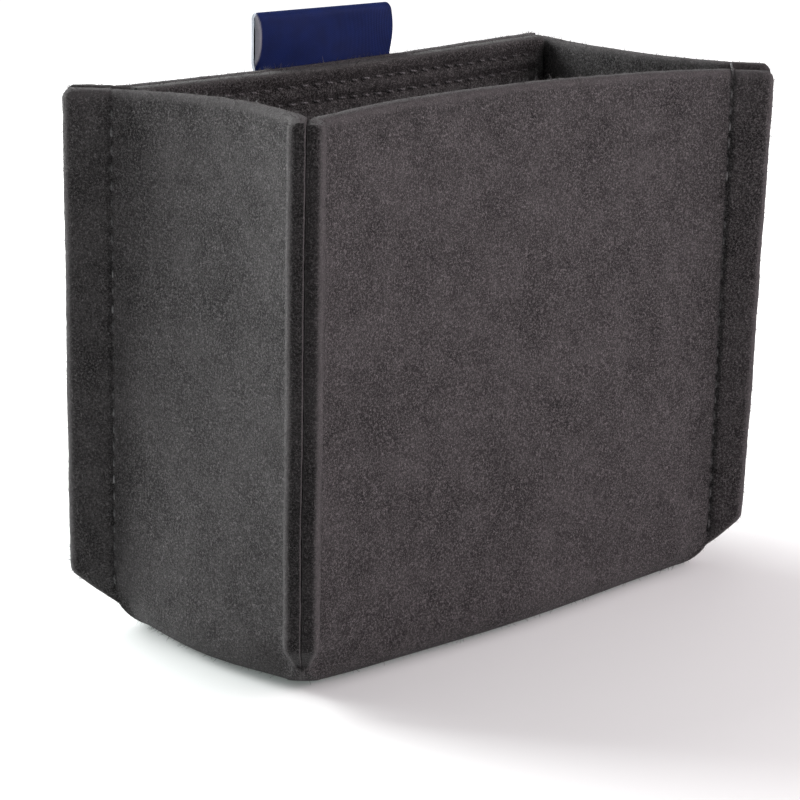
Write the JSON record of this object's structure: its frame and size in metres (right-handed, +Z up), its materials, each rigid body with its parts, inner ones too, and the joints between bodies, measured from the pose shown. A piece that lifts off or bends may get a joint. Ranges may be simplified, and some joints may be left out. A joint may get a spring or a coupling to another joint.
{
  "type": "marker tray",
  "caption": "Open felt tray for marker pens: walls folded up from a flat blank, sewn diagonal corner flanges, a lined back wall with hidden magnets and a folded ribbon tab.",
  "frame": {"origin": "middle of the tray's footprint, on the surface that it stands on", "axes": "+X to the right along the front wall, +Y to the magnetic back wall, +Z up"},
  "size_m": [0.126, 0.066, 0.1108],
  "materials": {
    "felt": "matte",
    "lining_felt": "matte",
    "magnet": "satin",
    "ribbon": "satin",
    "thread": "matte"
  },
  "bodies": {
    "root": {"felt_body": "felt", "back_lining": "lining_felt", "magnet_upper_left": "magnet", "magnet_upper_right": "magnet", "magnet_lower_left": "magnet", "magnet_lower_right": "magnet", "ribbon_tab": "ribbon", "front_left_seam_left_thread": "thread", "front_left_seam_front_thread": "thread", "front_right_seam_front_thread": "thread", "front_right_seam_right_thread": "thread", "back_right_seam_right_thread": "thread", "back_right_seam_back_thread": "thread", "back_left_seam_back_thread": "thread", "back_left_seam_left_thread": "thread", "upper_rim_row_inner_thread": "thread", "upper_rim_row_outer_thread": "thread", "lower_rim_row_inner_thread": "thread", "lower_rim_row_outer_thread": "thread"}
  },
  "joints": []
}
